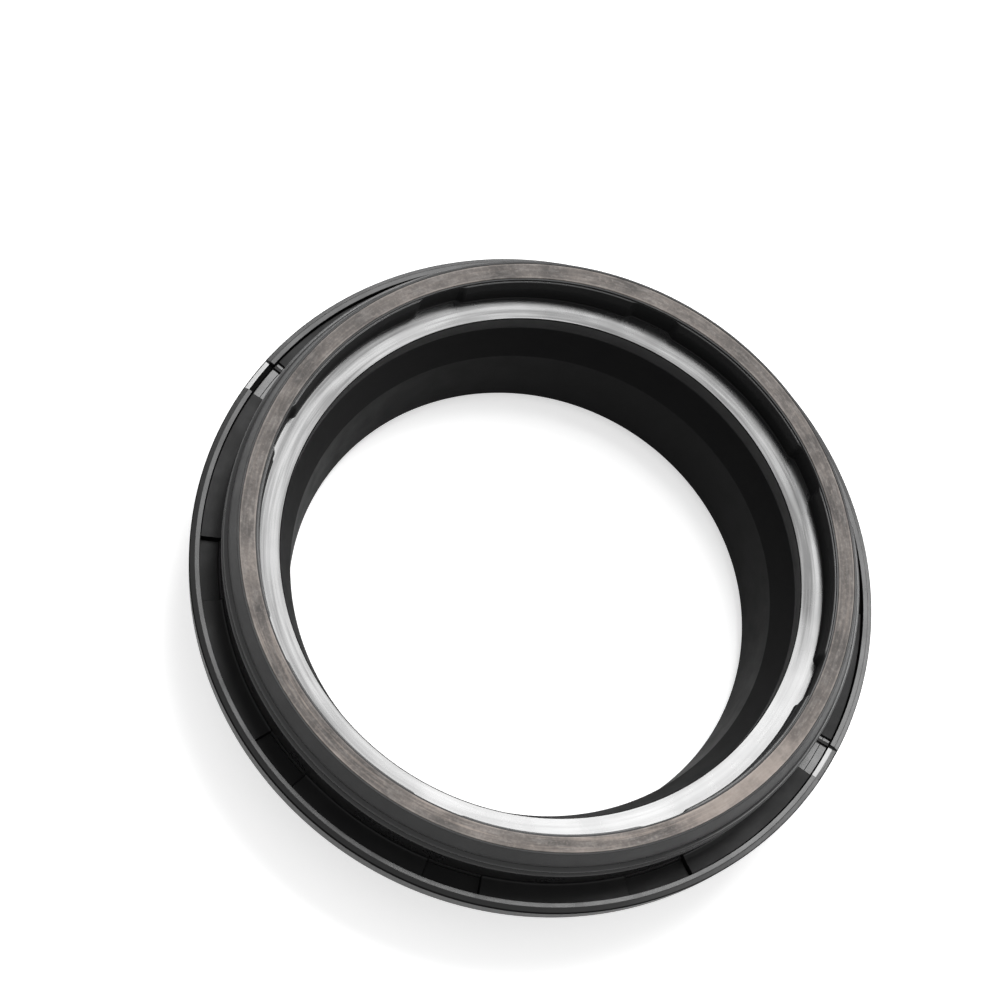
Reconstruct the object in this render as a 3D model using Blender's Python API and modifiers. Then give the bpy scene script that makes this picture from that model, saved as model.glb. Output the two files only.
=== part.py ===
# Fork dust wiper seal: a rubber ring moulded round a pressed steel case, with a garter spring round
# its wiper lip. The press-in end faces up and the part stands on the flat of its wiper end, so z = 0
# is the side that meets the weather and the tube runs along Z. Lengths are in metres.
import math

import bmesh
import bpy

# What the size marking of such a seal gives: tube, press-in height and full height. Its press-in bore,
# 53.2 mm, is the tube and the space left round it for the seal.
TUBE_DIAMETER = 0.041
SEAL_SPACE = 0.0061
PRESS_HEIGHT = 0.0058
TOTAL_HEIGHT = 0.015

# Steel case: one pressed ring, a sleeve with its foot turned inwards
CASE_SHEET = 0.0013
CASE_COVER = 0.00105
CASE_DEPTH = 0.0078
CASE_FOOT_REACH = 0.0021
CASE_BEND = 0.0004
BOND_GAP = 0.00005

# Press-in wall: a lead-in cone at the end face, then two sealing beads
TOP_SKIN = 0.0002
LEAD_IN_DEPTH = 0.0017
BEAD_HEIGHT = 0.00035
BEAD_HALF_WIDTH = 0.00035
FIRST_BEAD_DEPTH = 0.00215
BEAD_PITCH = 0.0012

# Flange: a narrow seat land round a groove
FLANGE_REACH = 0.00227
FLANGE_THICKNESS = 0.0025
FLANGE_TAPER = 0.00024
FLANGE_ROUND = 0.0004
SEAT_LAND = 0.00043
SEAT_BEVEL = 0.0004
SEAT_BEVEL_DROP = 0.0003
GROOVE_DEPTH = 0.0007
GROOVE_ROOT = 0.0004

# Features of the groove, set out on ten stations; two opposite ones hold the shelves and pry notches
STATIONS = 10
WINDOW_ANGLE = 9.8
END_WINDOW_ANGLE = 11.2
WINDOW_DEPTH = 0.0003
WINDOW_ROOT = 0.00005
WINDOW_EDGE = 0.00009
SHELF_ANGLE = 60.0
SHELF_SPARE = 0.4
SHELF_HEIGHT = 0.00025
SHELF_SLIT = 0.00012
NOTCH_ANGLE = 7.4
NOTCH_SHIFT = 2.0
NOTCH_DEPTH = 0.0002
RIB_ANGLE = 0.7
RIM_SLOT_ANGLE = 6.2
RIM_SLOT_SHIFT = 1.3
RIM_SLOT_DEPTH = 0.00036

# Inside of the press-in end: a floor that falls a little to the bore, and moulded pads on the wall round it
FLOOR_DEPTH = 0.003
FLOOR_FALL = 0.00015
FLOOR_STEP = 0.0016
FLOOR_CLEARANCE = 0.00132
WALL_FILM = 0.00015
FILM_SETBACK = 0.0001
PAD_COUNT = 8
PAD_GAP_ANGLE = 9.5
PAD_THICKNESS = 0.00035
PAD_BEVEL = 0.0009
PAD_FOOT = 0.0001
PAD_SETBACK = 0.0003
PAD_TURN = 10.1

# Lips in the bore
INNER_LIP_DEPTH = 0.0074
INNER_LIP_BITE = 0.00014
WIPER_LIP_BITE = 0.0009
WIPER_LIP_SETBACK = 0.0013
LIP_FLAT = 0.00008

# Weather side, set out from the tube: flange back, neck, garter spring and wiper end
BACK_DROP = 0.0005
NECK_REACH = 0.0038
NECK_FILLET = 0.0009
NECK_DEPTH = 0.0011
SPRING_COIL = 0.002
SPRING_HEIGHT = 0.0029
SPRING_REACH = 0.00185
SPRING_CLEARANCE = 0.00006
HEAD_COVER = 0.0011
HEAD_ROUND = 0.0006
END_FACE_START = 0.0007
END_FACE_WIDTH = 0.0016

# Facets
RING_STEPS = 72
SPRING_SIDES = 12
ARC_STEP = 36.0
SINK = 0.0001
OVERSHOOT = 0.0006

RUBBER = ((0.016, 0.016, 0.017), 0.42, 0.0)
STEEL = ((0.19, 0.165, 0.15), 0.45, 1.0)
SPRING_STEEL = ((0.42, 0.42, 0.43), 0.3, 1.0)

TUBE_RADIUS = TUBE_DIAMETER / 2
PRESS_RADIUS = TUBE_RADIUS + SEAL_SPACE
FLANGE_RADIUS = PRESS_RADIUS + FLANGE_REACH
WALL_RADIUS = PRESS_RADIUS - BEAD_HEIGHT
CASE_OUTER = PRESS_RADIUS - CASE_COVER
CASE_INNER = CASE_OUTER - CASE_SHEET
CASE_FOOT = TOTAL_HEIGHT - CASE_DEPTH
CASE_FOOT_RADIUS = CASE_INNER - CASE_FOOT_REACH
SEAT_HEIGHT = TOTAL_HEIGHT - PRESS_HEIGHT
GROOVE_FLOOR = SEAT_HEIGHT - GROOVE_DEPTH
GROOVE_OUTER = FLANGE_RADIUS - SEAT_BEVEL - SEAT_LAND
FLOOR_HEIGHT = TOTAL_HEIGHT - FLOOR_DEPTH
FLOOR_RADIUS = TUBE_RADIUS + FLOOR_CLEARANCE
INNER_LIP_RADIUS = TUBE_RADIUS - INNER_LIP_BITE
WIPER_RADIUS = TUBE_RADIUS - WIPER_LIP_BITE
FILM_RADIUS = CASE_INNER - BOND_GAP - WALL_FILM
NECK_RADIUS = TUBE_RADIUS + NECK_REACH
SPRING_RADIUS = TUBE_RADIUS + SPRING_REACH
SPRING_GROOVE = SPRING_COIL / 2 + SPRING_CLEARANCE
HEAD_RADIUS = SPRING_RADIUS + HEAD_COVER
END_FACE_INNER = TUBE_RADIUS + END_FACE_START
END_FACE_OUTER = END_FACE_INNER + END_FACE_WIDTH


def clear_scene():
    for old in list(bpy.data.objects):
        bpy.data.objects.remove(old, do_unlink=True)


def new_collection(name, hidden=False):
    made = bpy.data.collections.new(name)
    made.hide_render = hidden
    bpy.context.scene.collection.children.link(made)
    return made


def finish(name, look):
    """A Principled material from a base colour, a roughness and a metallic value."""
    colour, roughness, metallic = look
    made = bpy.data.materials.new(name)
    made.use_nodes = True
    shader = made.node_tree.nodes["Principled BSDF"]
    shader.inputs["Base Color"].default_value = (*colour, 1)
    shader.inputs["Roughness"].default_value = roughness
    shader.inputs["Metallic"].default_value = metallic
    return made


def arc(x, z, radius, start, end):
    """Points of a round stretch of a profile, from one angle to another in degrees."""
    steps = max(1, math.ceil(abs(end - start) / ARC_STEP))
    angles = [math.radians(start + (end - start) * k / steps) for k in range(steps + 1)]
    return [(x + radius * math.cos(a), z + radius * math.sin(a)) for a in angles]


def bead(depth):
    """One sealing bead of the press-in wall: a low round ridge."""
    centre = TOTAL_HEIGHT - depth
    radius = (BEAD_HALF_WIDTH**2 + BEAD_HEIGHT**2) / (2 * BEAD_HEIGHT)
    spread = math.degrees(math.asin(min(1.0, BEAD_HALF_WIDTH / radius)))
    return arc(PRESS_RADIUS - radius, centre, radius, spread, -spread)


def case_profile(gap=0.0):
    """The case's section, grown by the gap on every side but its open end face."""
    inner_bend = max(CASE_BEND - gap, SINK)
    outer_bend = CASE_BEND + CASE_SHEET + gap
    outer, inner = CASE_OUTER + gap, CASE_INNER - gap
    top, foot = CASE_FOOT + CASE_SHEET + gap, CASE_FOOT - gap
    edge = CASE_FOOT_RADIUS - gap
    bend_foot = arc(outer - outer_bend, foot + outer_bend, outer_bend, 0, -90)
    bend_top = arc(inner - inner_bend, top + inner_bend, inner_bend, -90, 0)
    return [(outer, TOTAL_HEIGHT), *bend_foot, (edge, foot), (edge, top), *bend_top, (inner, TOTAL_HEIGHT)]


def outer_wall():
    """The press-in wall and the flange's front, from the end face down to the flange's back."""
    rim = FLANGE_RADIUS - SEAT_BEVEL
    back = SEAT_HEIGHT - FLANGE_THICKNESS
    return [
        (CASE_OUTER + BOND_GAP, TOTAL_HEIGHT),
        (CASE_OUTER + TOP_SKIN, TOTAL_HEIGHT),
        (WALL_RADIUS, TOTAL_HEIGHT - LEAD_IN_DEPTH),
        *bead(FIRST_BEAD_DEPTH),
        *bead(FIRST_BEAD_DEPTH + BEAD_PITCH),
        (WALL_RADIUS, GROOVE_FLOOR + GROOVE_ROOT),
        (WALL_RADIUS + GROOVE_ROOT, GROOVE_FLOOR),
        (GROOVE_OUTER, GROOVE_FLOOR),
        (GROOVE_OUTER, SEAT_HEIGHT),
        (rim, SEAT_HEIGHT),
        (FLANGE_RADIUS, SEAT_HEIGHT - SEAT_BEVEL_DROP),
        *arc(FLANGE_RADIUS - FLANGE_TAPER - FLANGE_ROUND, back + FLANGE_ROUND, FLANGE_ROUND, 0, -80),
    ]


def weather_side():
    """Flange back, neck, spring groove, wiper head and end face, down to the wiper lip."""
    back = SEAT_HEIGHT - FLANGE_THICKNESS - BACK_DROP
    neck_foot = back - NECK_DEPTH
    head_top = SPRING_HEIGHT - SPRING_GROOVE
    fillet = arc(NECK_RADIUS + NECK_FILLET, back - NECK_FILLET, NECK_FILLET, 90, 180)
    groove = arc(SPRING_RADIUS, SPRING_HEIGHT, SPRING_GROOVE, 72, 288)
    head = arc(HEAD_RADIUS - HEAD_ROUND, head_top - HEAD_ROUND, HEAD_ROUND, 80, -30)
    return [
        *fillet,
        (NECK_RADIUS, neck_foot),
        *groove,
        *head,
        (END_FACE_OUTER, 0.0),
        (END_FACE_INNER, 0.0),
    ]


def bore():
    """Wiper lip, inner lip, step and floor, and the film up the case's inner wall."""
    lip = WIPER_LIP_SETBACK
    step = FLOOR_HEIGHT - FLOOR_STEP
    film_top = TOTAL_HEIGHT - FILM_SETBACK
    return [
        (WIPER_RADIUS, lip),
        (WIPER_RADIUS, lip + LIP_FLAT),
        (INNER_LIP_RADIUS, TOTAL_HEIGHT - INNER_LIP_DEPTH),
        (FLOOR_RADIUS, step),
        (FLOOR_RADIUS, FLOOR_HEIGHT),
        (FILM_RADIUS, FLOOR_HEIGHT + FLOOR_FALL),
        (FILM_RADIUS, film_top),
        (CASE_INNER - BOND_GAP, film_top),
    ]


def pocket():
    """The slot that the case fills, walked from its inner side round to its outer side."""
    return case_profile(BOND_GAP)[-2:0:-1]


def turned(name, profile, collection, material):
    """A closed profile in the XZ plane, turned about Z with a Screw modifier."""
    mesh = bpy.data.meshes.new(name)
    points = [(x, 0.0, z) for x, z in profile]
    edges = [(k, (k + 1) % len(points)) for k in range(len(points))]
    mesh.from_pydata(points, edges, [])
    made = bpy.data.objects.new(name, mesh)
    collection.objects.link(made)
    mesh.materials.append(material)
    screw = made.modifiers.new("turn", "SCREW")
    screw.axis = "Z"
    screw.steps = screw.render_steps = RING_STEPS
    screw.use_merge_vertices = True
    screw.merge_threshold = 0.000001
    screw.use_smooth_shade = True
    return made


def sector(shape, section, middle, width):
    """Adds to a bmesh one block with this section, swept round Z over a width in degrees."""
    steps = max(1, round(width * RING_STEPS / 360))
    rings = []
    for k in range(steps + 1):
        a = math.radians(middle - width / 2 + width * k / steps)
        rings.append([shape.verts.new((x * math.cos(a), x * math.sin(a), z)) for x, z in section])
    count = len(section)
    for near, far in zip(rings, rings[1:]):
        for k in range(count):
            n = (k + 1) % count
            shape.faces.new((near[k], near[n], far[n], far[k]))
    shape.faces.new(reversed(rings[0]))
    shape.faces.new(rings[-1])


def cutter(name, blocks, collection):
    """One helper mesh made of sector blocks, each given as section, middle and width."""
    shape = bmesh.new()
    for section, middle, width in blocks:
        sector(shape, section, middle, width)
    bmesh.ops.recalc_face_normals(shape, faces=shape.faces)
    mesh = bpy.data.meshes.new(name)
    shape.to_mesh(mesh)
    shape.free()
    made = bpy.data.objects.new(name, mesh)
    made.hide_render = True
    made.display_type = "WIRE"
    collection.objects.link(made)
    return made


def combine(target, helper, operation):
    step = target.modifiers.new(helper.name, "BOOLEAN")
    step.operation = operation
    step.solver = "EXACT"
    step.object = helper


def oblong(inner, outer, low, high):
    return [(inner, low), (outer, low), (outer, high), (inner, high)]


def pads(collection):
    """Moulded pads on the case's inner wall, sunk a little into the film and the floor."""
    pitch = 360 / PAD_COUNT
    face = FILM_RADIUS - PAD_THICKNESS
    top = TOTAL_HEIGHT - PAD_SETBACK
    root = FILM_RADIUS + WALL_FILM / 2
    section = [
        (root, FLOOR_HEIGHT - SINK),
        (face - PAD_FOOT, FLOOR_HEIGHT - SINK),
        (face, FLOOR_HEIGHT + FLOOR_FALL + PAD_FOOT),
        (face, top - PAD_BEVEL),
        (FILM_RADIUS - SINK, top),
        (root, top),
    ]
    middles = [PAD_TURN + pitch * (k + 0.5) for k in range(PAD_COUNT)]
    return cutter("pads", [(section, m, pitch - PAD_GAP_ANGLE) for m in middles], collection)


def shelves(collection):
    """The two raised stretches of the groove, a little too long: the windows beside them trim their ends."""
    edge = GROOVE_OUTER - SHELF_SLIT
    section = [
        (WALL_RADIUS - SINK, GROOVE_FLOOR - SINK),
        (edge, GROOVE_FLOOR - SINK),
        (edge, GROOVE_FLOOR + SHELF_HEIGHT),
        (WALL_RADIUS - SINK, GROOVE_FLOOR + SHELF_HEIGHT + SINK),
    ]
    return cutter("shelves", [(section, m, SHELF_ANGLE + 2 * SHELF_SPARE) for m in (0, 180)], collection)


def windows(collection):
    """Shallow recesses where pins of the mould held the case; those beside the shelves are longer."""
    low, high = GROOVE_FLOOR - WINDOW_DEPTH, SEAT_HEIGHT
    section = oblong(WALL_RADIUS + WINDOW_ROOT, GROOVE_OUTER - WINDOW_EDGE, low, high)
    half = STATIONS // 2
    pitch = 360 / STATIONS
    blocks = [(section, k * pitch, WINDOW_ANGLE) for k in range(STATIONS) if 1 < k % half < half - 1]
    reach = (SHELF_ANGLE + END_WINDOW_ANGLE) / 2
    for middle in (0, 180):
        blocks += [(section, middle + side * reach, END_WINDOW_ANGLE) for side in (-1, 1)]
    return cutter("windows", blocks, collection)


def notches(collection):
    """Pry notches: a flat recess in the shelf with a rib across one end, and a slot in the rim."""
    low = GROOVE_FLOOR + SHELF_HEIGHT - NOTCH_DEPTH
    outer = GROOVE_OUTER - SHELF_SLIT / 2
    recess = oblong(WALL_RADIUS + GROOVE_ROOT, outer, low, SEAT_HEIGHT)
    slot = oblong(outer, FLANGE_RADIUS + OVERSHOOT, SEAT_HEIGHT - RIM_SLOT_DEPTH, TOTAL_HEIGHT)
    long = NOTCH_ANGLE - 2 * RIB_ANGLE
    blocks = []
    for station, side in ((0, 1), (180, -1)):
        blocks.append((slot, station + side * RIM_SLOT_SHIFT, RIM_SLOT_ANGLE))
        middle = station + side * NOTCH_SHIFT
        blocks.append((recess, middle - side * RIB_ANGLE, long))
        blocks.append((recess, middle + side * (NOTCH_ANGLE - RIB_ANGLE) / 2, RIB_ANGLE))
    return cutter("notches", blocks, collection)


def garter_spring(collection, material):
    """The closed garter spring as the ring that its touching coils fill."""
    bpy.ops.mesh.primitive_torus_add(
        major_segments=RING_STEPS,
        minor_segments=SPRING_SIDES,
        major_radius=SPRING_RADIUS,
        minor_radius=SPRING_COIL / 2,
        location=(0, 0, SPRING_HEIGHT),
    )
    made = bpy.context.active_object
    made.name = made.data.name = "garter_spring"
    made.data.materials.append(material)
    made.data.shade_smooth()
    for owner in list(made.users_collection):
        owner.objects.unlink(made)
    collection.objects.link(made)
    return made


def main():
    clear_scene()
    seal = new_collection("wiper_seal")
    helpers = new_collection("cutters", hidden=True)
    body_profile = outer_wall() + weather_side() + bore() + pocket()
    body = turned("rubber_body", body_profile, seal, finish("black_rubber", RUBBER))
    combine(body, pads(helpers), "UNION")
    combine(body, shelves(helpers), "UNION")
    combine(body, windows(helpers), "DIFFERENCE")
    combine(body, notches(helpers), "DIFFERENCE")
    turned("steel_case", case_profile(), seal, finish("pressed_steel", STEEL))
    garter_spring(seal, finish("spring_steel", SPRING_STEEL))


main()
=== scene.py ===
import math

import bmesh
import bpy
from mathutils import Matrix, Vector


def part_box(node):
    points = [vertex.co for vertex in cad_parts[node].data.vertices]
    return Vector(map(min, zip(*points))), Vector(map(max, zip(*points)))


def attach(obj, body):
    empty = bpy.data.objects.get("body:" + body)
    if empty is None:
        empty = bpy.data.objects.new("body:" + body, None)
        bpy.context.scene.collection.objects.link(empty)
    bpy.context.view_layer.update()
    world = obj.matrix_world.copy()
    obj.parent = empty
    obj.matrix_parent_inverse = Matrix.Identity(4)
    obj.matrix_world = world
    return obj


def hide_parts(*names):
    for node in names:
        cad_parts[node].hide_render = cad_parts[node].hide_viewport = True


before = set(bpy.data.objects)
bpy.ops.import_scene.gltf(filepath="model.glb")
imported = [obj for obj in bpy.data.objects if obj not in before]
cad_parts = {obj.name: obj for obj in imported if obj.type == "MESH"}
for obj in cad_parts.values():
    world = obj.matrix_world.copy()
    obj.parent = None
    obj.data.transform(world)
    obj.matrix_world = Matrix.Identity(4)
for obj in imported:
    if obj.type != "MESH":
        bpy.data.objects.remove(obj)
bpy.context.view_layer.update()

mm = 0.001

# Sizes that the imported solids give, in metres
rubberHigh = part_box("rubber_body")[1]
caseLow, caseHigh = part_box("steel_case")
springLow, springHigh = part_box("garter_spring")
sealHeight = rubberHigh.z
flangeRadius = rubberHigh.y
caseOuter = caseHigh.y
caseFoot = caseLow.z
coilRadius = (springHigh.z - springLow.z) / 2
coilHeight = (springHigh.z + springLow.z) / 2
springRadius = springHigh.y - coilRadius

# Lengths in the dictionaries are in millimetres and angles in degrees, unless a note says otherwise.
# An angle round the seal's axis starts at +X, where one of the two notches is.
sharpAngle = math.radians(40)  # two faces that meet at more have a sharp edge
noiseSpan = {1: 0.3, 2: 0.7}  # what most of a noise lies between, as a Map Range's inputs


def linear(code):
    parts = [int(code[k:k + 2], 16) / 255 for k in (1, 3, 5)]
    return tuple(p / 12.92 if p <= 0.04045 else ((p + 0.055) / 1.055) ** 2.4 for p in parts)


def rgba(code):
    return (*linear(code), 1.0)


def setInputs(tree, node, inputs):
    # Sets or links a node's inputs; another node given for one of them stands for its result
    for socket, value in inputs.items():
        if isinstance(value, bpy.types.Node):
            value = next(output for output in value.outputs if output.enabled)
        if isinstance(value, bpy.types.NodeSocket):
            tree.links.new(value, node.inputs[socket])
        else:
            node.inputs[socket].default_value = value


def addNode(tree, kind, inputs=None, **settings):
    node = tree.nodes.new(kind)
    for key, value in settings.items():
        setattr(node, key, value)
    setInputs(tree, node, inputs or {})
    return node


def newMaterial(name):
    made = bpy.data.materials.new(name)
    made.use_nodes = True
    tree = made.node_tree
    return made, tree, tree.nodes["Principled BSDF"]


def addMesh(name, verts, faces, slots=None, materials=()):
    mesh = bpy.data.meshes.new(name)
    mesh.from_pydata(verts, [], faces)
    for material in materials:
        mesh.materials.append(material)
    if slots:
        mesh.polygons.foreach_set("material_index", slots)
    mesh.update()
    made = bpy.data.objects.new(name, mesh)
    bpy.context.scene.collection.objects.link(made)
    return made


def plainMesh(piece):
    # Makes what the modifiers give the piece's own mesh
    plain = bpy.data.meshes.new_from_object(piece.evaluated_get(bpy.context.evaluated_depsgraph_get()))
    piece.modifiers.clear()
    old = piece.data
    piece.data = plain
    bpy.data.meshes.remove(old)
    plain.name = piece.name
    print(piece.name + ":", sum(len(face.vertices) - 2 for face in plain.polygons), "triangles")


def smoothly(piece):
    # Smooth shading, with sharp edges at steep angles and where two finishes meet
    piece.data.shade_smooth()
    piece.data.set_sharp_from_angle(angle=sharpAngle)
    shape = bmesh.new()
    shape.from_mesh(piece.data)
    for edge in shape.edges:
        if len({face.material_index for face in edge.link_faces}) > 1:
            edge.smooth = False
    shape.to_mesh(piece.data)
    shape.free()
    weigh = piece.modifiers.new("flatFaces", "WEIGHTED_NORMAL")
    weigh.keep_sharp = True
    weigh.weight = 80
    plainMesh(piece)
    return piece


def trimmed(corners):
    # Turns corners into the points of a closed section. A corner is its radius, its height, how far it is
    # eased, in how many cuts, and the zone of the stretch that follows it.
    mostEased = 0.45  # share of the stretch beside the corner
    points, zones = [], []
    count = len(corners)
    for k, (r, z, ease, cuts, zone) in enumerate(corners):
        here = Vector((r, z))
        if cuts == 0:
            points.append(here)
            zones.append(zone)
            continue
        before = Vector(corners[k - 1][:2]) - here
        after = Vector(corners[(k + 1) % count][:2]) - here
        start = here + before.normalized() * min(ease, before.length * mostEased)
        end = here + after.normalized() * min(ease, after.length * mostEased)
        for c in range(cuts + 1):
            t = c / cuts
            points.append(start * (1 - t) ** 2 + here * (2 * t * (1 - t)) + end * t * t)
            zones.append(zone)
    return points, zones


def arcCorners(x, z, radius, start, end, cuts, zone):
    angles = [math.radians(start + (end - start) * k / cuts) for k in range(cuts + 1)]
    return [(x + radius * math.cos(a), z + radius * math.sin(a), 0, 0, zone) for a in angles]


rubber = {
    "bond": 0.02,  # between rubber and case
    "skin": 0.2,  # rubber round the case's end edge
    "cover": 0.7,  # rubber over the case below the lead-in cone
    "leadIn": 1.7,
    "beadDepths": (2.15, 3.35),
    "beadHeight": 0.35,
    "beadHalf": 0.35,
    "seatDepth": 5.8,
    "flangeThick": 2.5,
    "flangeTaper": 0.24,
    "land": 0.43,
    "bevel": 0.4,
    "bevelDrop": 0.3,
    "cornerHeight": 0.22,  # of the corner under the bevel, whose dark dull finish paints a shaded outline
    "grooveDepth": 0.7,
    "wallFoot": 0.75,  # from the groove up to the wall's last corner
    "rootRound": 0.22,  # between wall and groove
    "windowRound": 0.06,  # the same beside a window
    "windowRoot": 0.16,  # from the wall to a window
    "windowEdge": 0.1,  # from a window to the rim
    "windowDepth": 0.3,
    "recessRoot": 0.45,  # from the wall to a recess
    "slit": 0.08,  # from a recess to the rim
    "recessDepth": 0.2,
    "foldDepth": 0.05,  # of the fine line along a recess
    "foldHalf": 0.03,
    "shelfHeight": 0.25,
    "shelfRise": 0.08,  # more height where a shelf meets the wall
    "slotDepth": 0.36,
    "floorDepth": 3.0,
    "floorFall": 0.15,
    "floorEdge": 21.82,
    "floorStep": 1.6,
    "film": 0.15,  # rubber on the inside of the case
    "filmSetback": 0.1,
    "padThick": 0.35,
    "padBevel": 0.9,
    "padFoot": 0.12,
    "padSetback": 0.3,
    "padLedge": 0.13,  # flat top of a pad, which catches the light
    "innerLipDepth": 7.4,
    "innerLip": 20.36,
    "wiperLip": 19.6,
    "wiperSetback": 1.3,
    "lipFlat": 0.08,
    "backDrop": 0.5,
    "neck": 24.3,
    "neckDepth": 1.1,
    "springGap": 0.06,
    "head": 23.45,
    "headRound": 0.6,
    "endOuter": 22.8,
    "endInner": 21.2,
}

stations = {
    "count": 10,
    "window": 9.8,
    "endWindow": 11.2,  # the windows beside a shelf
    "shelf": 60.0,
    "notch": 7.4,
    "notchShift": 2.0,
    "rib": 0.7,
    "rimSlot": 6.2,
    "rimSlotShift": 1.3,
    "padCount": 8,
    "padGap": 9.5,
    "padTurn": 10.1,
    "step": 1.25,  # between two sections where nothing changes
    "closest": 0.02,  # least angle between two sections
    "ramp": 0.13,  # on each side of a feature's end, where it rises
    "padRamp": 0.8,
}

# The finish of each zone of the section. The crease finish, dark and dull, is a painted shade.
finishes = {
    "edge": "bevel",
    "cone": "cone",
    "wall": "satin",
    "groove": "black",
    "shelf": "shelf",
    "polish": "polish",
    "slot": "slot",
    "land": "gloss",
    "bevel": "bevel",
    "rim": "rim",
    "back": "satin",
    "lip": "bore",
    "bore": "bore",
    "step": "black",
    "floorRound": "crease",
    "floor": "floor",
    "pad": "matte",
    "ledge": "ledge",
    "pocket": "black",  # against the steel, out of sight
    "crease": "crease",  # where a step in the groove rises, in painted shade
    "corner": "crease",
}


def beadCorners(depth, wallRadius, top):
    # A low round ridge on the press-in wall
    height, half = rubber["beadHeight"], rubber["beadHalf"]
    radius = (half**2 + height**2) / (2 * height)
    spread = math.degrees(math.asin(min(1.0, half / radius)))
    made = arcCorners(wallRadius + height - radius, top - depth, radius, spread, -spread, 8, "wall")
    for end in (0, -1):
        made[end] = (*made[end][:2], 0.04, 2, "wall")
    return made


def sealSection(pad, shelf, window, recess, slot, shadedSlot):
    # The rubber's section at one angle, in mm; each argument says how far that feature is there, 0 to 1
    g = rubber
    fine = 0.02  # a step that is just large enough to keep two corners apart
    top = sealHeight / mm
    outer = caseOuter / mm
    foot = caseFoot / mm
    inner = outer - case["sheet"]
    wall = outer + g["cover"]
    seat = top - g["seatDepth"]
    flange = flangeRadius / mm
    rimInner = flange - g["bevel"] - g["land"]
    groove = seat - g["grooveDepth"]
    strip = groove + shelf * g["shelfHeight"]
    sunk = strip - window * g["windowDepth"] - recess * g["recessDepth"]
    rimTop = seat - slot * g["slotDepth"]
    bevelFoot = min(seat - g["bevelDrop"], rimTop - fine)
    rootRound = g["rootRound"] + (g["windowRound"] - g["rootRound"]) * window
    near = wall + g["recessRoot"] + (g["windowRoot"] - g["recessRoot"]) * window
    far = rimInner - g["slit"] + (g["slit"] - g["windowEdge"]) * window
    middle = (near + far) / 2
    stripZone = "shelf" if shelf > 0.5 else "groove"
    sunkZone = "polish" if recess > 0.5 else stripZone
    landZone, bevelZone = "land", "bevel"
    if slot > 0.5:
        # On the shaded slot the land is painted shade, in the crease finish
        landZone, bevelZone = ("crease", "slot") if shadedSlot > 0.5 else ("slot", "polish")
    floor = top - g["floorDepth"]
    film = inner - g["film"]
    slope = g["floorFall"] / (film - g["floorEdge"])
    padFace = film - pad * g["padThick"]
    padTop = top - g["padSetback"]
    back = seat - g["flangeThick"]
    neckTop = back - g["backDrop"]
    coilRoom = coilRadius / mm + g["springGap"]
    headRound = g["headRound"]
    headTop = coilHeight / mm - coilRoom
    pocketInner = inner - case["footReach"] - g["bond"]
    bendTop = foot + case["sheet"] + case["bend"]

    # End edge, lead-in cone and press-in wall with its beads
    corners = [
        (outer + g["bond"], top, 0.02, 1, "edge"),
        (outer + g["skin"], top, 0.05, 2, "edge"),
        (wall, top - g["leadIn"], 0.05, 2, "cone"),
    ]
    for depth in g["beadDepths"]:
        corners += beadCorners(depth, wall, top)

    # Groove, rim, the flange's back and the neck
    corners += [
        (wall, groove + g["wallFoot"], 0, 0, "wall"),
        (wall, strip + shelf * g["shelfRise"], rootRound, 4, stripZone),
        (near - fine, strip, 0.02, 1, stripZone),
        (near + fine, sunk, 0.02, 1, sunkZone),
        (middle - g["foldHalf"], sunk, 0, 0, "groove"),
        (middle, sunk - g["foldDepth"] * recess, 0, 0, "groove"),
        (middle + g["foldHalf"], sunk, 0, 0, sunkZone),
        (far, sunk, 0.03, 2, sunkZone),
        (far + 0.03, groove - 0.002, 0.02, 1, "groove"),
        (rimInner - 0.01, groove, 0.03, 1, "groove"),
        (rimInner, rimTop, 0.05, 2, landZone),
        (flange - g["bevel"], rimTop - 0.001, 0.05, 2, bevelZone),
        (flange, bevelFoot, 0.1, 3, "corner"),
        (flange - fine, bevelFoot - g["cornerHeight"], 0, 0, "rim"),
        (flange - g["flangeTaper"], back, 0.3, 4, "back"),
        (g["neck"], neckTop, 0.8, 5, "back"),
        (g["neck"], neckTop - g["neckDepth"], 0.25, 3, "back"),
    ]

    # The spring's seat and the round of the wiper head
    corners += arcCorners(springRadius / mm, coilHeight / mm, coilRoom, 72, 288, 12, "back")
    corners += arcCorners(g["head"] - headRound, headTop - headRound, headRound, 80, -30, 6, "back")

    # Wiper end, lips, inner floor, pads and the pocket that holds the case
    corners += [
        (g["endOuter"], 0, 0.12, 2, "back"),
        (g["endInner"], 0, 0.08, 2, "lip"),
        (g["wiperLip"], g["wiperSetback"], 0.03, 2, "lip"),
        (g["wiperLip"], g["wiperSetback"] + g["lipFlat"], 0.03, 1, "lip"),
        (g["innerLip"], top - g["innerLipDepth"], 0.06, 3, "bore"),
        (g["floorEdge"], floor - g["floorStep"], 0.1, 3, "step"),
        (g["floorEdge"], floor, 0.07, 3, "floorRound"),
        (g["floorEdge"] + 0.08, floor, 0, 0, "floor"),
        (padFace, floor + slope * (padFace - g["floorEdge"]), g["padFoot"], 4, "pad"),
        (padFace, padTop - g["padBevel"], 0.16, 4, "pad"),
        (film - 0.01 - pad * g["padLedge"], padTop - fine, 0.02, 1, "ledge"),
        (film - 0.005, padTop, 0.02, 1, "pad"),
        (film, top - g["filmSetback"], 0.03, 2, "edge"),
        (inner - g["bond"], top - g["filmSetback"], 0.01, 1, "pocket"),
        (inner - g["bond"], bendTop, 0, 0, "pocket"),
        (pocketInner, foot + case["sheet"] + g["bond"], 0, 0, "pocket"),
        (pocketInner, foot - g["bond"], 0, 0, "pocket"),
        (inner - case["bend"], foot - g["bond"], 0, 0, "pocket"),
        (outer + g["bond"], bendTop, 0, 0, "pocket"),
    ]
    return trimmed(corners)


def rampOf(kind):
    return stations["padRamp"] if kind == "pad" else stations["ramp"]


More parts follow.
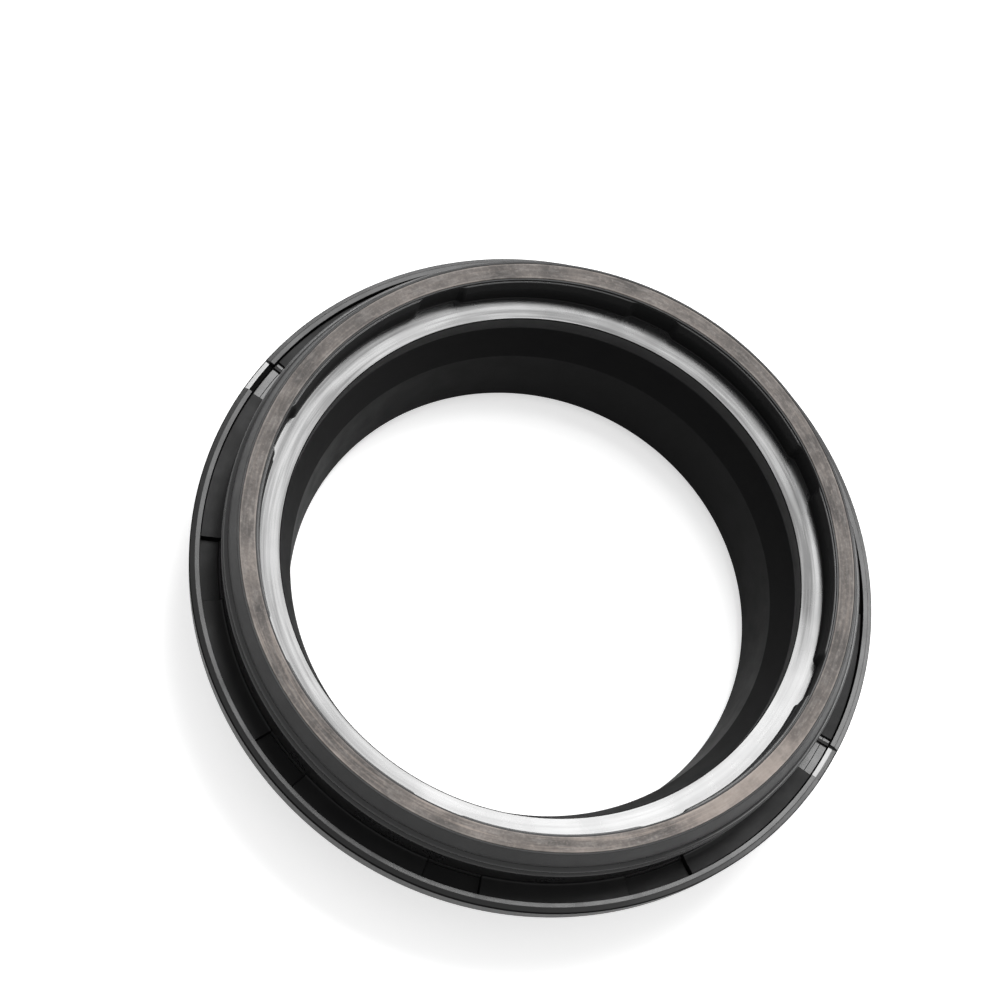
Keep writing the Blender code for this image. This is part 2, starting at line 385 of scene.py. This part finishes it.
def between(angle, kind, middle, width):
    # 1 inside a stretch of the ring, 0 outside it, with a smooth ramp at both ends
    away = abs((angle - middle + 180) % 360 - 180) - width / 2
    t = min(max(0.5 - away / (2 * rampOf(kind)), 0.0), 1.0)
    return t * t * (3 - 2 * t)


def groovePlan():
    # Lists each feature of the ring as its kind, middle and width
    s = stations
    pitch = 360 / s["count"]
    half = s["count"] // 2
    windows = [k for k in range(s["count"]) if 1 < k % half < half - 1]
    plan = [("window", k * pitch, s["window"]) for k in windows]
    for station, side in ((0, 1), (180, -1)):
        reach = (s["shelf"] + s["endWindow"]) / 2
        plan += [("window", station + end * reach, s["endWindow"]) for end in (-1, 1)]
        plan.append(("shelf", station, s["shelf"]))
        plan.append(("slot", station + side * s["rimSlotShift"], s["rimSlot"]))
        if side < 0:
            # This slot's land takes the dark crease finish, a painted shade
            plan.append(("shadedSlot", station + side * s["rimSlotShift"], s["rimSlot"]))
        middle = station + side * s["notchShift"]
        plan.append(("recess", middle - side * s["rib"], s["notch"] - 2 * s["rib"]))
        plan.append(("recess", middle + side * (s["notch"] - s["rib"]) / 2, s["rib"]))
    padPitch = 360 / s["padCount"]
    for k in range(s["padCount"]):
        plan.append(("pad", s["padTurn"] + padPitch * (k + 0.5), padPitch - s["padGap"]))
    return plan


def ringAngles(plan):
    # Even steps round the ring, with closer ones at the ends of every feature
    clear = 1.2  # how many ramps from a feature's end the even steps stay away
    angles = {round(k * stations["step"], 4) for k in range(round(360 / stations["step"]))}
    ends = [(kind, middle + side * width / 2) for kind, middle, width in plan for side in (-1, 1)]
    for kind, end in ends:
        angles = {a for a in angles if abs((a - end + 180) % 360 - 180) > clear * rampOf(kind)}
    for kind, end in ends:
        for quarter in range(-4, 5):
            angles.add(round((end + quarter / 4 * rampOf(kind)) % 360, 4))
    ordered = sorted(angles)
    kept = [ordered[0]]
    for a in ordered[1:]:
        if a - kept[-1] > stations["closest"]:
            kept.append(a)
    return kept


def leanings(points, zones):
    # The normals (outward, up) at both ends of each line of a section, eased into its neighbour's where the
    # two have one finish
    count = len(points)
    lines = [points[(n + 1) % count] - points[n] for n in range(count)]
    flat = [Vector((line.y, -line.x)).normalized() for line in lines]

    def shared(n, m):
        if zones[n] != zones[m] or flat[n].dot(flat[m]) < math.cos(sharpAngle):
            return None
        return (flat[n] * lines[n].length + flat[m] * lines[m].length).normalized()

    return [(shared(n - 1, n) or flat[n], shared(n, (n + 1) % count) or flat[n]) for n in range(count)]


def straighten(piece, plain, pointRows, zoneRows):
    # Gives each face where the section runs on unchanged the normals of the section itself
    mesh = piece.data
    count = len(pointRows[0])
    leans = [leanings(points, zones) for points, zones in zip(pointRows, zoneRows)]
    normals = [corner.vector.copy() for corner in mesh.corner_normals]
    for face, runsOn in zip(mesh.polygons, plain):
        if not runsOn:
            continue
        section, line = divmod(face.index, count)
        first, second = leans[section][line]
        for k in face.loop_indices:
            vertex = mesh.loops[k].vertex_index
            lean = first if vertex % count == line else second
            out = mesh.vertices[vertex].co.copy()
            out.z = 0
            out.normalize()
            normal = Vector((out.x * lean.x, out.y * lean.x, lean.y))
            normals[k] = normal if normal.dot(face.normal) > 0 else -normal
    mesh.normals_split_custom_set(normals)


def makeRubber(materials):
    # One section after the other round the ring, each with the features that stand at its angle
    still = 0.0001  # mm; a smaller move from one section to the next counts as none
    plan = groovePlan()
    verts, zoneRows, pointRows = [], [], []
    for angle in ringAngles(plan):
        there = {"pad": 0.0, "shelf": 0.0, "window": 0.0, "recess": 0.0, "slot": 0.0, "shadedSlot": 0.0}
        for kind, middle, width in plan:
            there[kind] = max(there[kind], between(angle, kind, middle, width))
        points, zones = sealSection(**there)
        c, s = math.cos(math.radians(angle)), math.sin(math.radians(angle))
        verts += [(p.x * mm * c, p.x * mm * s, p.y * mm) for p in points]
        zoneRows.append(zones)
        pointRows.append(points)
    count = len(pointRows[0])
    order = list(materials)
    faces, slots, plain = [], [], []
    for k, here in enumerate(pointRows):
        following = (k + 1) % len(pointRows)
        ahead = pointRows[following]
        near, far = k * count, following * count
        for n in range(count):
            m = (n + 1) % count
            faces.append((near + n, near + m, far + m, far + n))
            zone = zoneRows[k][n]
            moved = max((here[n] - ahead[n]).length, (here[m] - ahead[m]).length)
            plain.append(zone == "floor" or moved < still)
            # Groove faces at a step take the crease finish, a painted shade
            if zone in ("groove", "shelf") and not plain[-1]:
                zone = "crease"
            slots.append(order.index(zone))
    made = smoothly(addMesh("rubberBody", verts, faces, slots, materials.values()))
    straighten(made, plain, pointRows, zoneRows)
    return made


case = {
    "sheet": 1.3,
    "footReach": 2.1,
    "bend": 0.4,
    "edgeRound": 0.06,
    "ringSteps": 360,
}


def makeCase(material):
    # A sleeve of sheet steel with its foot bent inwards: one section turned round the axis
    outer, foot, top = caseOuter / mm, caseFoot / mm, sealHeight / mm
    inner = outer - case["sheet"]
    big = case["bend"] + case["sheet"]
    edge = case["edgeRound"]
    leg = inner - case["footReach"]
    corners = [(outer, top, edge, 3, "steel")]
    corners += arcCorners(outer - big, foot + big, big, 0, -90, 6, "steel")
    corners += [(leg, foot, edge, 2, "steel"), (leg, foot + case["sheet"], edge, 2, "steel")]
    corners += arcCorners(inner - case["bend"], foot + big, case["bend"], -90, 0, 4, "steel")
    corners += [(inner, top, edge, 3, "steel")]
    points = trimmed(corners)[0]
    count, steps = len(points), case["ringSteps"]
    verts, faces = [], []
    for k in range(steps):
        c, s = math.cos(math.tau * k / steps), math.sin(math.tau * k / steps)
        verts += [(p.x * mm * c, p.x * mm * s, p.y * mm) for p in points]
        near, far = k * count, ((k + 1) % steps) * count
        faces += [(near + n, near + (n + 1) % count, far + (n + 1) % count, far + n) for n in range(count)]
    return smoothly(addMesh("steelCase", verts, faces, None, [material]))


wire = {
    "thick": 0.36,
    "pitch": 0.372,
    "pointsPerTurn": 14,
    "sides": 7,
}


def makeSpring(material):
    # A close-wound coil bent into a ring, made with Geometry Nodes
    thick = wire["thick"] * mm
    turns = round(math.tau * springRadius / (wire["pitch"] * mm))
    sizes = {
        "Ring Radius": springRadius,
        "Coil Radius": coilRadius - thick / 2,
        "Wire Radius": thick / 2,
        "Height": coilHeight,
    }
    numbers = {"Turns": turns, "Points Per Turn": wire["pointsPerTurn"], "Sides": wire["sides"]}
    kinds = {label: "NodeSocketFloat" for label in sizes}
    kinds.update({label: "NodeSocketInt" for label in numbers})
    kinds["Wire Finish"] = "NodeSocketMaterial"
    tree = bpy.data.node_groups.new("garterSpringCoil", "GeometryNodeTree")
    tree.interface.new_socket("Geometry", in_out="OUTPUT", socket_type="NodeSocketGeometry")
    sockets = {}
    for label, kind in kinds.items():
        sockets[label] = tree.interface.new_socket(label, in_out="INPUT", socket_type=kind)
    given = addNode(tree, "NodeGroupInput").outputs
    turnCount, coil = given["Turns"], given["Coil Radius"]
    calc = "ShaderNodeMath"

    # Each point's angle round the ring and round the coil, and from them its place
    total = addNode(tree, calc, {0: turnCount, 1: given["Points Per Turn"]}, operation="MULTIPLY")
    index = addNode(tree, "GeometryNodeInputIndex")
    share = addNode(tree, calc, {0: index, 1: total}, operation="DIVIDE")
    around = addNode(tree, calc, {0: share, 1: math.tau}, operation="MULTIPLY")
    wound = addNode(tree, calc, {0: around, 1: turnCount}, operation="MULTIPLY")
    out = addNode(tree, calc, {0: wound}, operation="COSINE")
    up = addNode(tree, calc, {0: wound}, operation="SINE")
    outward = addNode(tree, calc, {0: coil, 1: out}, operation="MULTIPLY")
    upward = addNode(tree, calc, {0: coil, 1: up}, operation="MULTIPLY")
    reach = addNode(tree, calc, {0: given["Ring Radius"], 1: outward}, operation="ADD")
    rise = addNode(tree, calc, {0: given["Height"], 1: upward}, operation="ADD")
    ahead = addNode(tree, calc, {0: around}, operation="COSINE")
    aside = addNode(tree, calc, {0: around}, operation="SINE")
    place = addNode(tree, "ShaderNodeCombineXYZ", {
        0: addNode(tree, calc, {0: reach, 1: ahead}, operation="MULTIPLY"),
        1: addNode(tree, calc, {0: reach, 1: aside}, operation="MULTIPLY"),
        2: rise,
    })

    # The points as one closed curve, with the wire swept along it
    line = addNode(tree, "GeometryNodeMeshLine", {"Count": total})
    moved = addNode(tree, "GeometryNodeSetPosition", {"Geometry": line, "Position": place})
    curve = addNode(tree, "GeometryNodeMeshToCurve", {"Mesh": moved})
    closed = addNode(tree, "GeometryNodeSetSplineCyclic", {"Geometry": curve, "Cyclic": True})
    section = addNode(tree, "GeometryNodeCurvePrimitiveCircle", {
        "Resolution": given["Sides"], "Radius": given["Wire Radius"]})
    swept = addNode(tree, "GeometryNodeCurveToMesh", {"Curve": closed, "Profile Curve": section})
    smooth = addNode(tree, "GeometryNodeSetShadeSmooth", {"Geometry": swept})
    real = addNode(tree, "GeometryNodeRealizeInstances", {"Geometry": smooth})
    painted = addNode(tree, "GeometryNodeSetMaterial", {"Geometry": real, "Material": given["Wire Finish"]})
    addNode(tree, "NodeGroupOutput", {0: painted})

    made = addMesh("garterSpring", [], [])
    modifier = made.modifiers.new("coil", "NODES")
    modifier.node_group = tree
    for label, value in {**sizes, **numbers, "Wire Finish": material}.items():
        modifier[sockets[label].identifier] = value
    bpy.context.view_layer.update()
    plainMesh(made)
    return made


def fromAxis(tree):
    # The direction outward from the seal's axis, and the distance from it in metres
    spot = addNode(tree, "ShaderNodeTexCoord").outputs["Object"]
    flat = addNode(tree, "ShaderNodeVectorMath", {0: spot, 1: (1.0, 1.0, 0.0)}, operation="MULTIPLY")
    outward = addNode(tree, "ShaderNodeVectorMath", {0: flat}, operation="NORMALIZE")
    return outward, addNode(tree, "ShaderNodeVectorMath", {0: flat}, operation="LENGTH")


def towards(tree, angle):
    # 1 on the side of the ring that the angle names, -1 on the opposite side
    aim = (math.cos(math.radians(angle)), math.sin(math.radians(angle)), 0.0)
    return addNode(tree, "ShaderNodeVectorMath", {0: fromAxis(tree)[0], 1: aim}, operation="DOT_PRODUCT")


def ringCoordinates(tree, size):
    # Coordinates that follow the ring with no seam; the size is how long and how wide a pattern's cells are
    outward, radius = fromAxis(tree)
    along = addNode(tree, "ShaderNodeVectorMath", {
        0: outward, "Scale": flangeRadius / (size[0] * mm)}, operation="SCALE")
    across = addNode(tree, "ShaderNodeMath", {0: radius, 1: 1 / (size[1] * mm)}, operation="MULTIPLY")
    offset = addNode(tree, "ShaderNodeCombineXYZ", {2: across})
    return addNode(tree, "ShaderNodeVectorMath", {0: along, 1: offset}, operation="ADD")


moulded = {
    "ior": 1.52,
    "cloudSize": 2.5,
    "grainSize": 0.12,  # coarser than the mould's own grain, so that it shows
    "grainDepth": 0.01,
}

# The finishes of the mould, as lit and shaded copies of one rubber: low shades and specular levels in the
# groove, bore, pads and creases are painted shade, and high ones on the cone and rim are painted light. On a
# finish's own side of the ring its specular level is another one: higher for the bevel and the land, a
# painted sheen, and lower for the satin wall, a painted shade.
mouldedLooks = {
    "satin": {"shades": ("#141415", "#1b1b1b"), "rough": (0.25, 0.35), "specular": 0.36, "grain": 0.3,
              "side": -15.0, "sideReach": (0.86, 0.97), "sideSpecular": 0.22},
    "matte": {"shades": ("#0a0a0b", "#0e0e0e"), "rough": (0.45, 0.55), "specular": 0.12, "grain": 0.4},
    "bevel": {"shades": ("#101011", "#161616"), "rough": (0.4, 0.5), "specular": 0.3, "grain": 0.4,
              "side": 21.0, "sideReach": (0.88, 0.95), "sideSpecular": 0.46},
    # a dark, dull finish that paints shade
    "crease": {"shades": ("#0a0a0b", "#0c0c0c"), "rough": (0.65, 0.75), "specular": 0.03, "grain": 0.2},
    "black": {"shades": ("#101011", "#151515"), "rough": (0.34, 0.46), "specular": 0.15, "grain": 0.2},
    "shelf": {"shades": ("#121213", "#181818"), "rough": (0.34, 0.46), "specular": 0.13, "grain": 0.4},
    "gloss": {"shades": ("#151516", "#1d1d1d"), "rough": (0.21, 0.31), "specular": 0.29, "grain": 0.15,
              "side": -20.0, "sideReach": (0.1, 0.9), "sideSpecular": 0.42},
    "bore": {"shades": ("#0e0e0f", "#131313"), "rough": (0.45, 0.55), "specular": 0.05, "grain": 0.4},
    "polish": {"shades": ("#151516", "#1d1d1d"), "rough": (0.2, 0.32), "specular": 0.48, "grain": 0.2},
    "slot": {"shades": ("#151516", "#1d1d1d"), "rough": (0.13, 0.23), "specular": 0.95, "grain": 0.2},
    "ledge": {"shades": ("#151516", "#1d1d1d"), "rough": (0.25, 0.35), "specular": 0.6, "grain": 0.2},
    "cone": {"shades": ("#141415", "#1c1c1c"), "rough": (0.25, 0.35), "specular": 0.68, "grain": 0.3},
    "rim": {"shades": ("#1b1b1c", "#252525"), "rough": (0.28, 0.38), "specular": 1.0, "grain": 0.2},
}


def mouldedRubber(name, look):
    # Nitrile rubber pressed in a steel mould: near black, with the sheen of the mould's own finish, its
    # level partly set as painted light and shade
    made, tree, shader = newMaterial(name)
    spot = addNode(tree, "ShaderNodeTexCoord").outputs["Object"]
    cloud = addNode(tree, "ShaderNodeTexNoise", {
        "Vector": spot, "Scale": 1 / (moulded["cloudSize"] * mm), "Detail": 4.0, "Roughness": 0.6})
    grain = addNode(tree, "ShaderNodeTexNoise", {
        "Vector": spot, "Scale": 1 / (moulded["grainSize"] * mm), "Detail": 2.0, "Roughness": 0.5})
    dark, light = [rgba(code) for code in look["shades"]]
    least, most = look["rough"]
    setInputs(tree, shader, {
        "Base Color": addNode(tree, "ShaderNodeMix", {0: cloud, 6: dark, 7: light}, data_type="RGBA"),
        "Roughness": addNode(tree, "ShaderNodeMapRange", {0: cloud, **noiseSpan, 3: least, 4: most}),
        "IOR": moulded["ior"],
        "Specular IOR Level": look["specular"],
        "Normal": addNode(tree, "ShaderNodeBump", {
            "Height": grain, "Strength": look["grain"], "Distance": moulded["grainDepth"] * mm}),
    })
    # Painted sheen and shade: the specular level changes towards the finish's own side of the ring
    if "side" in look:
        low, high = look["sideReach"]
        level = addNode(tree, "ShaderNodeMapRange", {
            0: towards(tree, look["side"]), 1: low, 2: high, 3: look["specular"], 4: look["sideSpecular"]})
        setInputs(tree, shader, {"Specular IOR Level": level})
    return made


polished = {
    "shade": "#141415",
    "rough": (0.2, 0.32),
    "ior": 1.7,
    "filmRough": 0.17,
    "cloudSize": 4.0,
    "markSize": (50.0, 0.4545),  # wider than real turning marks, so that they show
    "markStrength": 0.25,
    "markDepth": 0.01,
    "smearSize": (28.57, 0.625),  # smears in the oil film
    "smearReach": (0.36, 0.62),  # of the noise, from least to most sheen
    "paintedSheenSide": -40.0,  # painted sheen: the coat is heaviest towards this side of the ring, for a brighter reflection there
    "paintedSheenReach": (0.4, 0.75),
    "dimSideSheen": (0.3, 0.76),  # least and most sheen away from the painted sheen
    # least and most sheen where the painted sheen is full
    "thick": (0.82, 1.0),
}


def polishedRubber(look):
    # The same rubber where the mould was polished, under an oil film, with faint turning marks; the film's
    # sheen is painted stronger towards one side of the ring
    made, tree, shader = newMaterial("rubberPolishedFloor")
    spot = addNode(tree, "ShaderNodeTexCoord").outputs["Object"]
    marks = addNode(tree, "ShaderNodeTexNoise", {
        "Vector": ringCoordinates(tree, look["markSize"]), "Scale": 1.0, "Detail": 1.0, "Roughness": 0.5})
    smears = addNode(tree, "ShaderNodeTexNoise", {
        "Vector": ringCoordinates(tree, look["smearSize"]), "Scale": 1.0, "Detail": 3.0, "Roughness": 0.68})
    cloud = addNode(tree, "ShaderNodeTexNoise", {
        "Vector": spot, "Scale": 1 / (look["cloudSize"] * mm), "Detail": 3.0, "Roughness": 0.5})
    # Painted sheen: coat weight and specular level rise towards one side of the ring
    low, high = look["paintedSheenReach"]
    side = addNode(tree, "ShaderNodeMapRange", {0: towards(tree, look["paintedSheenSide"]), 1: low, 2: high})
    dim, bright = [addNode(tree, "ShaderNodeMapRange", {0: side, 3: dimSideSheen, 4: thick})
                   for dimSideSheen, thick in zip(look["dimSideSheen"], look["thick"])]
    low, high = look["smearReach"]
    sheen = addNode(tree, "ShaderNodeMapRange", {0: smears, 1: low, 2: high, 3: dim, 4: bright})
    least, most = look["rough"]
    setInputs(tree, shader, {
        "Base Color": rgba(look["shade"]),
        "Roughness": addNode(tree, "ShaderNodeMapRange", {0: cloud, **noiseSpan, 3: least, 4: most}),
        "IOR": look["ior"],
        "Coat Roughness": look["filmRough"],
        "Coat Weight": look["dimSideSheen"][1],
        "Specular IOR Level": look["dimSideSheen"][1] / 2,
        "Normal": addNode(tree, "ShaderNodeBump", {
            "Height": marks, "Strength": look["markStrength"], "Distance": look["markDepth"] * mm}),
    })
    setInputs(tree, shader, {
        "Coat Weight": sheen,
        "Specular IOR Level": addNode(tree, "ShaderNodeMapRange", {0: sheen, 4: 0.5}),
    })
    return made


phosphated = {
    "specular": 0.3,
    "rough": (0.5, 0.65),
    "patchSize": 3.2,
    "broadSize": 9.0,
    "grainSize": 0.3,  # coarser than the phosphate's crystals, so that it shows
    "streakSize": (1.43, 0.2857),
    "streakDepth": 0.02,
    "dieLineSize": (9.09, 0.2),
    "dieLineHighlightSide": -70.0,  # where the die lines are painted lightest: a painted highlight on them
    "lighterSide": -14.0,  # where the coat is lightest, in patches
    "rubReach": (0.16, 0.05),  # from the sheet's edges, where rubbing starts and where it is full
    "coat": "#3f3b39",
    "coatLight": "#69635f",
    "handled": "#867e78",
    "streaks": "#9b9692",
    "pits": "#383430",
    "specks": "#a79d96",
    "lighterSidePatches": "#b3a69d",
    "dieLinesAndHighlight": "#a89b91",
    "rubbed": "#b4aca6",
}


def phosphatedSteel(look):
    # Deep-drawn sheet steel with a brown-grey phosphate coat, scuffed lighter where it was handled, lighter
    # in patches towards one side of the ring, and with a painted highlight along its die lines
    made, tree, shader = newMaterial("steelPhosphated")
    spot = addNode(tree, "ShaderNodeTexCoord").outputs["Object"]
    patches = addNode(tree, "ShaderNodeTexNoise", {
        "Vector": spot, "Scale": 1 / (look["patchSize"] * mm), "Detail": 4.0, "Roughness": 0.6})
    broad = addNode(tree, "ShaderNodeTexNoise", {
        "Vector": spot, "Scale": 1 / (look["broadSize"] * mm), "Detail": 2.0, "Roughness": 0.5})
    grain = addNode(tree, "ShaderNodeTexNoise", {
        "Vector": spot, "Scale": 1 / (look["grainSize"] * mm), "Detail": 4.0, "Roughness": 0.65})
    streaks = addNode(tree, "ShaderNodeTexNoise", {
        "Vector": ringCoordinates(tree, look["streakSize"]), "Scale": 1.0, "Detail": 3.0, "Roughness": 0.6})
    dieLinesAndHighlight = addNode(tree, "ShaderNodeTexNoise", {
        "Vector": ringCoordinates(tree, look["dieLineSize"]), "Scale": 1.0, "Detail": 3.0, "Roughness": 0.6})
    lighterSide = towards(tree, look["lighterSide"])
    dieLineHighlightSide = towards(tree, look["dieLineHighlightSide"])

    # Distance from the middle of the sheet
    half = case["sheet"] * mm / 2
    radius = fromAxis(tree)[1]
    offset = addNode(tree, "ShaderNodeMath", {0: radius, 1: caseOuter - half}, operation="SUBTRACT")
    away = addNode(tree, "ShaderNodeMath", {0: offset}, operation="ABSOLUTE")
    rubStart, rubFull = [half - reach * mm for reach in look["rubReach"]]

    # Each layer of wear, tone or painted highlight is its colour and its masks. A mask is a pattern, the two
    # values of it between which the mask changes, and what the mask is at each.
    layers = [
        ("coatLight", [(patches, 0.35, 0.68, 0.0, 1.0)]),
        ("handled", [(broad, 0.5, 0.7, 0.0, 0.75)]),
        ("streaks", [(streaks, 0.48, 0.75, 0.0, 0.45)]),
        ("pits", [(grain, 0.54, 0.3, 0.0, 0.45)]),
        ("specks", [(grain, 0.54, 0.74, 0.0, 0.35)]),
        # Lighter in patches towards one side of the ring
        ("lighterSidePatches", [(lighterSide, 0.92, 0.99, 0.0, 0.55), (patches, 0.35, 0.6, 0.3, 1.0)]),
        # Die lines all round, painted lighter towards one side of the ring as a highlight
        ("dieLinesAndHighlight", [(dieLinesAndHighlight, 0.5, 0.66, 0.0, 0.6), (dieLineHighlightSide, 0.3, 0.85, 0.3, 1.0),
                      (patches, 0.38, 0.6, 0.25, 1.0)]),
        ("rubbed", [(away, rubStart, rubFull, 0.0, 0.3), (patches, 0.3, 0.6, 0.2, 1.0)]),
    ]
    wornAndHighlit = rgba(look["coat"])
    for name, masks in layers:
        share = 1.0
        for pattern, low, high, first, last in masks:
            mask = addNode(tree, "ShaderNodeMapRange", {0: pattern, 1: low, 2: high, 3: first, 4: last})
            share = addNode(tree, "ShaderNodeMath", {0: share, 1: mask}, operation="MULTIPLY")
        wornAndHighlit = addNode(tree, "ShaderNodeMix", {0: share, 6: wornAndHighlit, 7: rgba(look[name])}, data_type="RGBA")
    least, most = look["rough"]
    setInputs(tree, shader, {
        "Base Color": wornAndHighlit,
        "Roughness": addNode(tree, "ShaderNodeMapRange", {0: grain, **noiseSpan, 3: least, 4: most}),
        "Metallic": 0.0,
        "Specular IOR Level": look["specular"],
        "Normal": addNode(tree, "ShaderNodeBump", {
            "Height": streaks, "Strength": 0.3, "Distance": look["streakDepth"] * mm}),
    })
    return made


drawn = {
    "shades": ("#8f8e8d", "#b4b2ae"),
    "rough": (0.28, 0.42),
    "cloudSize": 1.5,
}


def drawnWire(look):
    # Hard-drawn carbon steel wire: bright, with the fine draw lines blurred by oil
    made, tree, shader = newMaterial("steelDrawnWire")
    spot = addNode(tree, "ShaderNodeTexCoord").outputs["Object"]
    cloud = addNode(tree, "ShaderNodeTexNoise", {
        "Vector": spot, "Scale": 1 / (look["cloudSize"] * mm), "Detail": 3.0, "Roughness": 0.6})
    dark, light = [rgba(code) for code in look["shades"]]
    least, most = look["rough"]
    setInputs(tree, shader, {
        "Base Color": addNode(tree, "ShaderNodeMix", {0: cloud, 6: dark, 7: light}, data_type="RGBA"),
        "Roughness": addNode(tree, "ShaderNodeMapRange", {0: cloud, **noiseSpan, 3: least, 4: most}),
        "Metallic": 1.0,
    })
    return made


camera = {
    "lens": 129.3,
    "sensor": 36.0,
    "turn": 6.5,  # round the seal's axis
    "tilt": 24.49,  # off the seal's axis
    "roll": 28.44,
    "distance": 291.9,
    "offCentre": (4.21, -3.98),  # where the end face's centre lies in the view
}


def setCamera():
    data = bpy.data.cameras.new("photoCamera")
    data.lens = camera["lens"]
    data.sensor_width = camera["sensor"]
    data.clip_start = 10 * mm
    made = bpy.data.objects.new("photoCamera", data)
    bpy.context.scene.collection.objects.link(made)
    turn = (Matrix.Rotation(math.radians(camera["turn"]), 3, "Z")
            @ Matrix.Rotation(math.radians(camera["tilt"]), 3, "X")
            @ Matrix.Rotation(math.radians(camera["roll"]), 3, "Z"))
    across, up = camera["offCentre"]
    place = Vector((0, 0, sealHeight)) - turn @ Vector((across, up, -camera["distance"])) * mm
    made.matrix_world = Matrix.Translation(place) @ turn.to_4x4()
    bpy.context.scene.camera = made


# Distances and sizes in metres; an aim is the direction from the seal to the light
studio = {
    "distance": 1.0,
    "softbox": {"aim": (-0.06, 0.455, 0.888), "size": (0.48, 0.48), "radiance": 8.8},
    "cards": {
        "leftCard": {"aim": (-0.61, 0.77, 0.19), "size": (0.9, 0.34), "radiance": 9.0},
        "rightCard": {"aim": (0.82, 0.49, 0.29), "size": (1.5, 0.42), "radiance": 10.0},
    },
    "roomLight": 0.68,
    "tableSize": 3.0,
    "tableColour": "#f2f2f2",
    "tableGlow": 0.5,  # lifts the table to white for the camera alone
}


def areaLight(name, look):
    data = bpy.data.lights.new(name, "AREA")
    data.shape = "RECTANGLE"
    data.size, data.size_y = look["size"]
    data.energy = look["radiance"] * math.pi * data.size * data.size_y
    made = bpy.data.objects.new(name, data)
    bpy.context.scene.collection.objects.link(made)
    made.location = Vector(look["aim"]) * studio["distance"]
    made.rotation_euler = made.location.to_track_quat("Z", "Y").to_euler()
    return made


def setLights():
    areaLight("keySoftbox", studio["softbox"])
    for name, look in studio["cards"].items():
        areaLight(name, look).visible_diffuse = False  # the cards show in glossy sheens alone


def setRoom():
    # White to the camera, in reflections and through glass, and dimmer as light
    world = bpy.data.worlds.new("studioWorld")
    bpy.context.scene.world = world
    world.use_nodes = True
    tree = world.node_tree
    path = addNode(tree, "ShaderNodeLightPath").outputs
    seen = path["Is Camera Ray"]
    for ray in ("Is Glossy Ray", "Is Transmission Ray"):
        seen = addNode(tree, "ShaderNodeMath", {0: seen, 1: path[ray]}, operation="MAXIMUM")
    level = addNode(tree, "ShaderNodeMapRange", {0: seen, 3: studio["roomLight"], 4: 1.0})
    setInputs(tree, tree.nodes["Background"], {"Color": rgba("#ffffff"), "Strength": level})


def setTable():
    # A table top painted matt white, which the shadow falls on
    made, tree, shader = newMaterial("paintedTable")
    seen = addNode(tree, "ShaderNodeLightPath").outputs["Is Camera Ray"]
    setInputs(tree, shader, {
        "Base Color": rgba(studio["tableColour"]),
        "Roughness": 0.9,
        "Specular IOR Level": 0.2,
        "Emission Color": rgba("#ffffff"),
        "Emission Strength": addNode(tree, "ShaderNodeMath", {
            0: seen, 1: studio["tableGlow"]}, operation="MULTIPLY"),
    })
    half = studio["tableSize"] / 2
    verts = [(-half, -half, 0), (half, -half, 0), (half, half, 0), (-half, half, 0)]
    addMesh("studioFloor", verts, [(0, 1, 2, 3)], None, [made])


def main():
    setCamera()
    setLights()
    setRoom()
    setTable()
    print("studio: camera, lights, room and table set")
    rubbers = {"floor": polishedRubber(polished)}
    for key, look in mouldedLooks.items():
        rubbers[key] = mouldedRubber("rubberMoulded" + key.capitalize(), look)
    print("rubber:", len(rubbers), "finishes made")
    body = makeRubber({zone: rubbers[key] for zone, key in finishes.items()})
    steel = makeCase(phosphatedSteel(phosphated))
    spring = makeSpring(drawnWire(drawn))
    for piece, node in ((body, "rubber_body"), (steel, "steel_case"), (spring, "garter_spring")):
        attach(piece, "root")
        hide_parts(node)
    bpy.context.scene.view_settings.view_transform = "Standard"


main()
